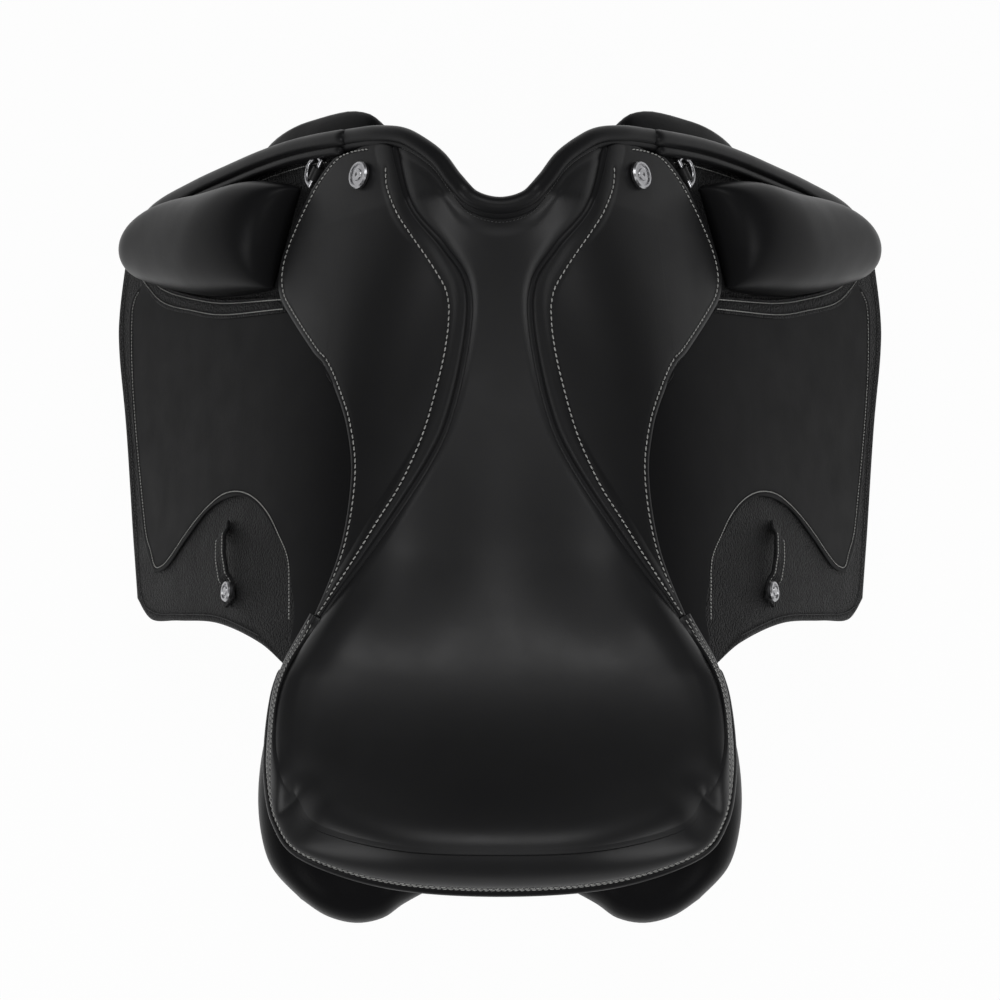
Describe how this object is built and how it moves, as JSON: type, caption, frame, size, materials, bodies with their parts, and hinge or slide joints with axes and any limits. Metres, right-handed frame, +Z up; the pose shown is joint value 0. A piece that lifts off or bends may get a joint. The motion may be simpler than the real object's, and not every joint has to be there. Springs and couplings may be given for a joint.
{
  "type": "english saddle",
  "caption": "Black monoflap dressage saddle with deep seat, outside thigh blocks, lifting flaps and skirts, stirrup bars and girth billets.",
  "frame": {"origin": "on the saddle's centreline at mid-length, at the height of the panels' bearing line, where it rests on the horse's back", "axes": "+Z up, +Y towards the pommel and the horse's head, +X towards the rider's right"},
  "size_m": [0.5494, 0.5194, 0.519],
  "materials": {
    "tree_wood": "laminated beech, sealed",
    "tree_steel": "sprung steel strip",
    "bar_steel": "forged stainless steel",
    "webbing": "woven flax webbing",
    "foam": "latex foam",
    "seat_leather": "smooth black calf, soft sheen",
    "welt_leather": "smooth black calf over cord",
    "skirt_leather": "smooth black calf, light grey stitching",
    "flap_leather": "pebbled black leather",
    "cover_leather": "smooth black calf",
    "lining_leather": "matte black lining leather",
    "block_leather": "smooth black calf over firm foam",
    "grain_strip": "pebbled black leather, double stitched",
    "nail_metal": "brushed nickel silver with plain rings",
    "ring_metal": "polished stainless wire",
    "panel_leather": "soft black panel leather",
    "billet_leather": "black strap leather"
  },
  "bodies": {
    "saddle": {"cantle_band": "seat_leather", "cantle_board": "tree_wood", "catch_pins": "bar_steel", "flap_margin_left": "flap_leather", "flap_margin_right": "flap_leather", "girth_webbing_left": "webbing", "girth_webbing_right": "webbing", "gullet_plate": "tree_steel", "head_rivets": "tree_steel", "panel_left": "panel_leather", "panel_right": "panel_leather", "pommel_binding": "welt_leather", "saddle_nail_left": "nail_metal", "saddle_nail_right": "nail_metal", "seat_cover": "seat_leather", "seat_foam": "foam", "seat_webbing": "webbing", "seat_welt": "welt_leather", "skirt_base_left": "skirt_leather", "skirt_base_right": "skirt_leather", "spring_steel_left": "tree_steel", "spring_steel_right": "tree_steel", "stirrup_bar_left": "bar_steel", "stirrup_bar_right": "bar_steel", "tree_head": "tree_wood", "tree_rail_left": "tree_wood", "tree_rail_right": "tree_wood"},
    "flap_left": {"block_band_left": "grain_strip", "d_ring_tab_left": "flap_leather", "flap_cover_left": "cover_leather", "flap_left": "flap_leather", "flap_lining_left": "lining_leather", "front_roll_left": "welt_leather", "keeper_loop_left": "grain_strip", "keeper_stud_left": "nail_metal", "thigh_block_left": "block_leather"},
    "skirt_left": {"skirt_lobe_left": "skirt_leather"},
    "billet_front_left": {"billet_front_left": "billet_leather"},
    "billet_rear_left": {"billet_rear_left": "billet_leather"},
    "d_ring_left": {"d_ring_left": "ring_metal"},
    "bar_catch_left": {"bar_catch_left": "bar_steel"},
    "flap_right": {"block_band_right": "grain_strip", "d_ring_tab_right": "flap_leather", "flap_cover_right": "cover_leather", "flap_lining_right": "lining_leather", "flap_right": "flap_leather", "front_roll_right": "welt_leather", "keeper_loop_right": "grain_strip", "keeper_stud_right": "nail_metal", "thigh_block_right": "block_leather"},
    "skirt_right": {"skirt_lobe_right": "skirt_leather"},
    "billet_front_right": {"billet_front_right": "billet_leather"},
    "billet_rear_right": {"billet_rear_right": "billet_leather"},
    "d_ring_right": {"d_ring_right": "ring_metal"},
    "bar_catch_right": {"bar_catch_right": "bar_steel"}
  },
  "joints": [
    {"name": "flap_lift_right", "type": "hinge", "parent": "saddle", "child": "flap_right", "pos_m": [0.135, -0.095, 0.06589], "axis": [0.1242, -0.9837, -0.1304], "range_deg": [0, 35]},
    {"name": "flap_lift_left", "type": "hinge", "parent": "saddle", "child": "flap_left", "pos_m": [-0.135, -0.095, 0.06589], "axis": [0.1242, 0.9837, 0.1304], "range_deg": [0, 35]},
    {"name": "skirt_lift_right", "type": "hinge", "parent": "flap_right", "child": "skirt_right", "pos_m": [0.135, -0.095, 0.06589], "axis": [0.1242, -0.9837, -0.1304], "range_deg": [0, 45]},
    {"name": "skirt_lift_left", "type": "hinge", "parent": "flap_left", "child": "skirt_left", "pos_m": [-0.135, -0.095, 0.06589], "axis": [0.1242, 0.9837, 0.1304], "range_deg": [0, 45]},
    {"name": "billet_front_swing_right", "type": "hinge", "parent": "saddle", "child": "billet_front_right", "pos_m": [0.119, 0.088, 0.046], "axis": [0, -1, 0], "range_deg": [-8, 20]},
    {"name": "billet_front_swing_left", "type": "hinge", "parent": "saddle", "child": "billet_front_left", "pos_m": [-0.119, 0.088, 0.046], "axis": [0, 1, 0], "range_deg": [-8, 20]},
    {"name": "billet_rear_swing_right", "type": "hinge", "parent": "saddle", "child": "billet_rear_right", "pos_m": [0.119, 0.038, 0.046], "axis": [0, -1, 0], "range_deg": [-8, 20]},
    {"name": "billet_rear_swing_left", "type": "hinge", "parent": "saddle", "child": "billet_rear_left", "pos_m": [-0.119, 0.038, 0.046], "axis": [0, 1, 0], "range_deg": [-8, 20]},
    {"name": "d_ring_swing_right", "type": "hinge", "parent": "flap_right", "child": "d_ring_right", "pos_m": [0.11939, 0.2239, 0.06885], "axis": [0.4116, -0.7303, -0.5452], "range_deg": [0, 80]},
    {"name": "d_ring_swing_left", "type": "hinge", "parent": "flap_left", "child": "d_ring_left", "pos_m": [-0.11939, 0.2239, 0.06885], "axis": [0.4116, 0.7303, 0.5452], "range_deg": [0, 80]},
    {"name": "bar_catch_turn_right", "type": "hinge", "parent": "saddle", "child": "bar_catch_right", "pos_m": [0.09036, 0.1146, 0.09907], "axis": [0.679, -0.0992, 0.7274], "range_deg": [0, 80]},
    {"name": "bar_catch_turn_left", "type": "hinge", "parent": "saddle", "child": "bar_catch_left", "pos_m": [-0.09036, 0.1146, 0.09907], "axis": [0.679, 0.0992, -0.7274], "range_deg": [0, 80]}
  ]
}
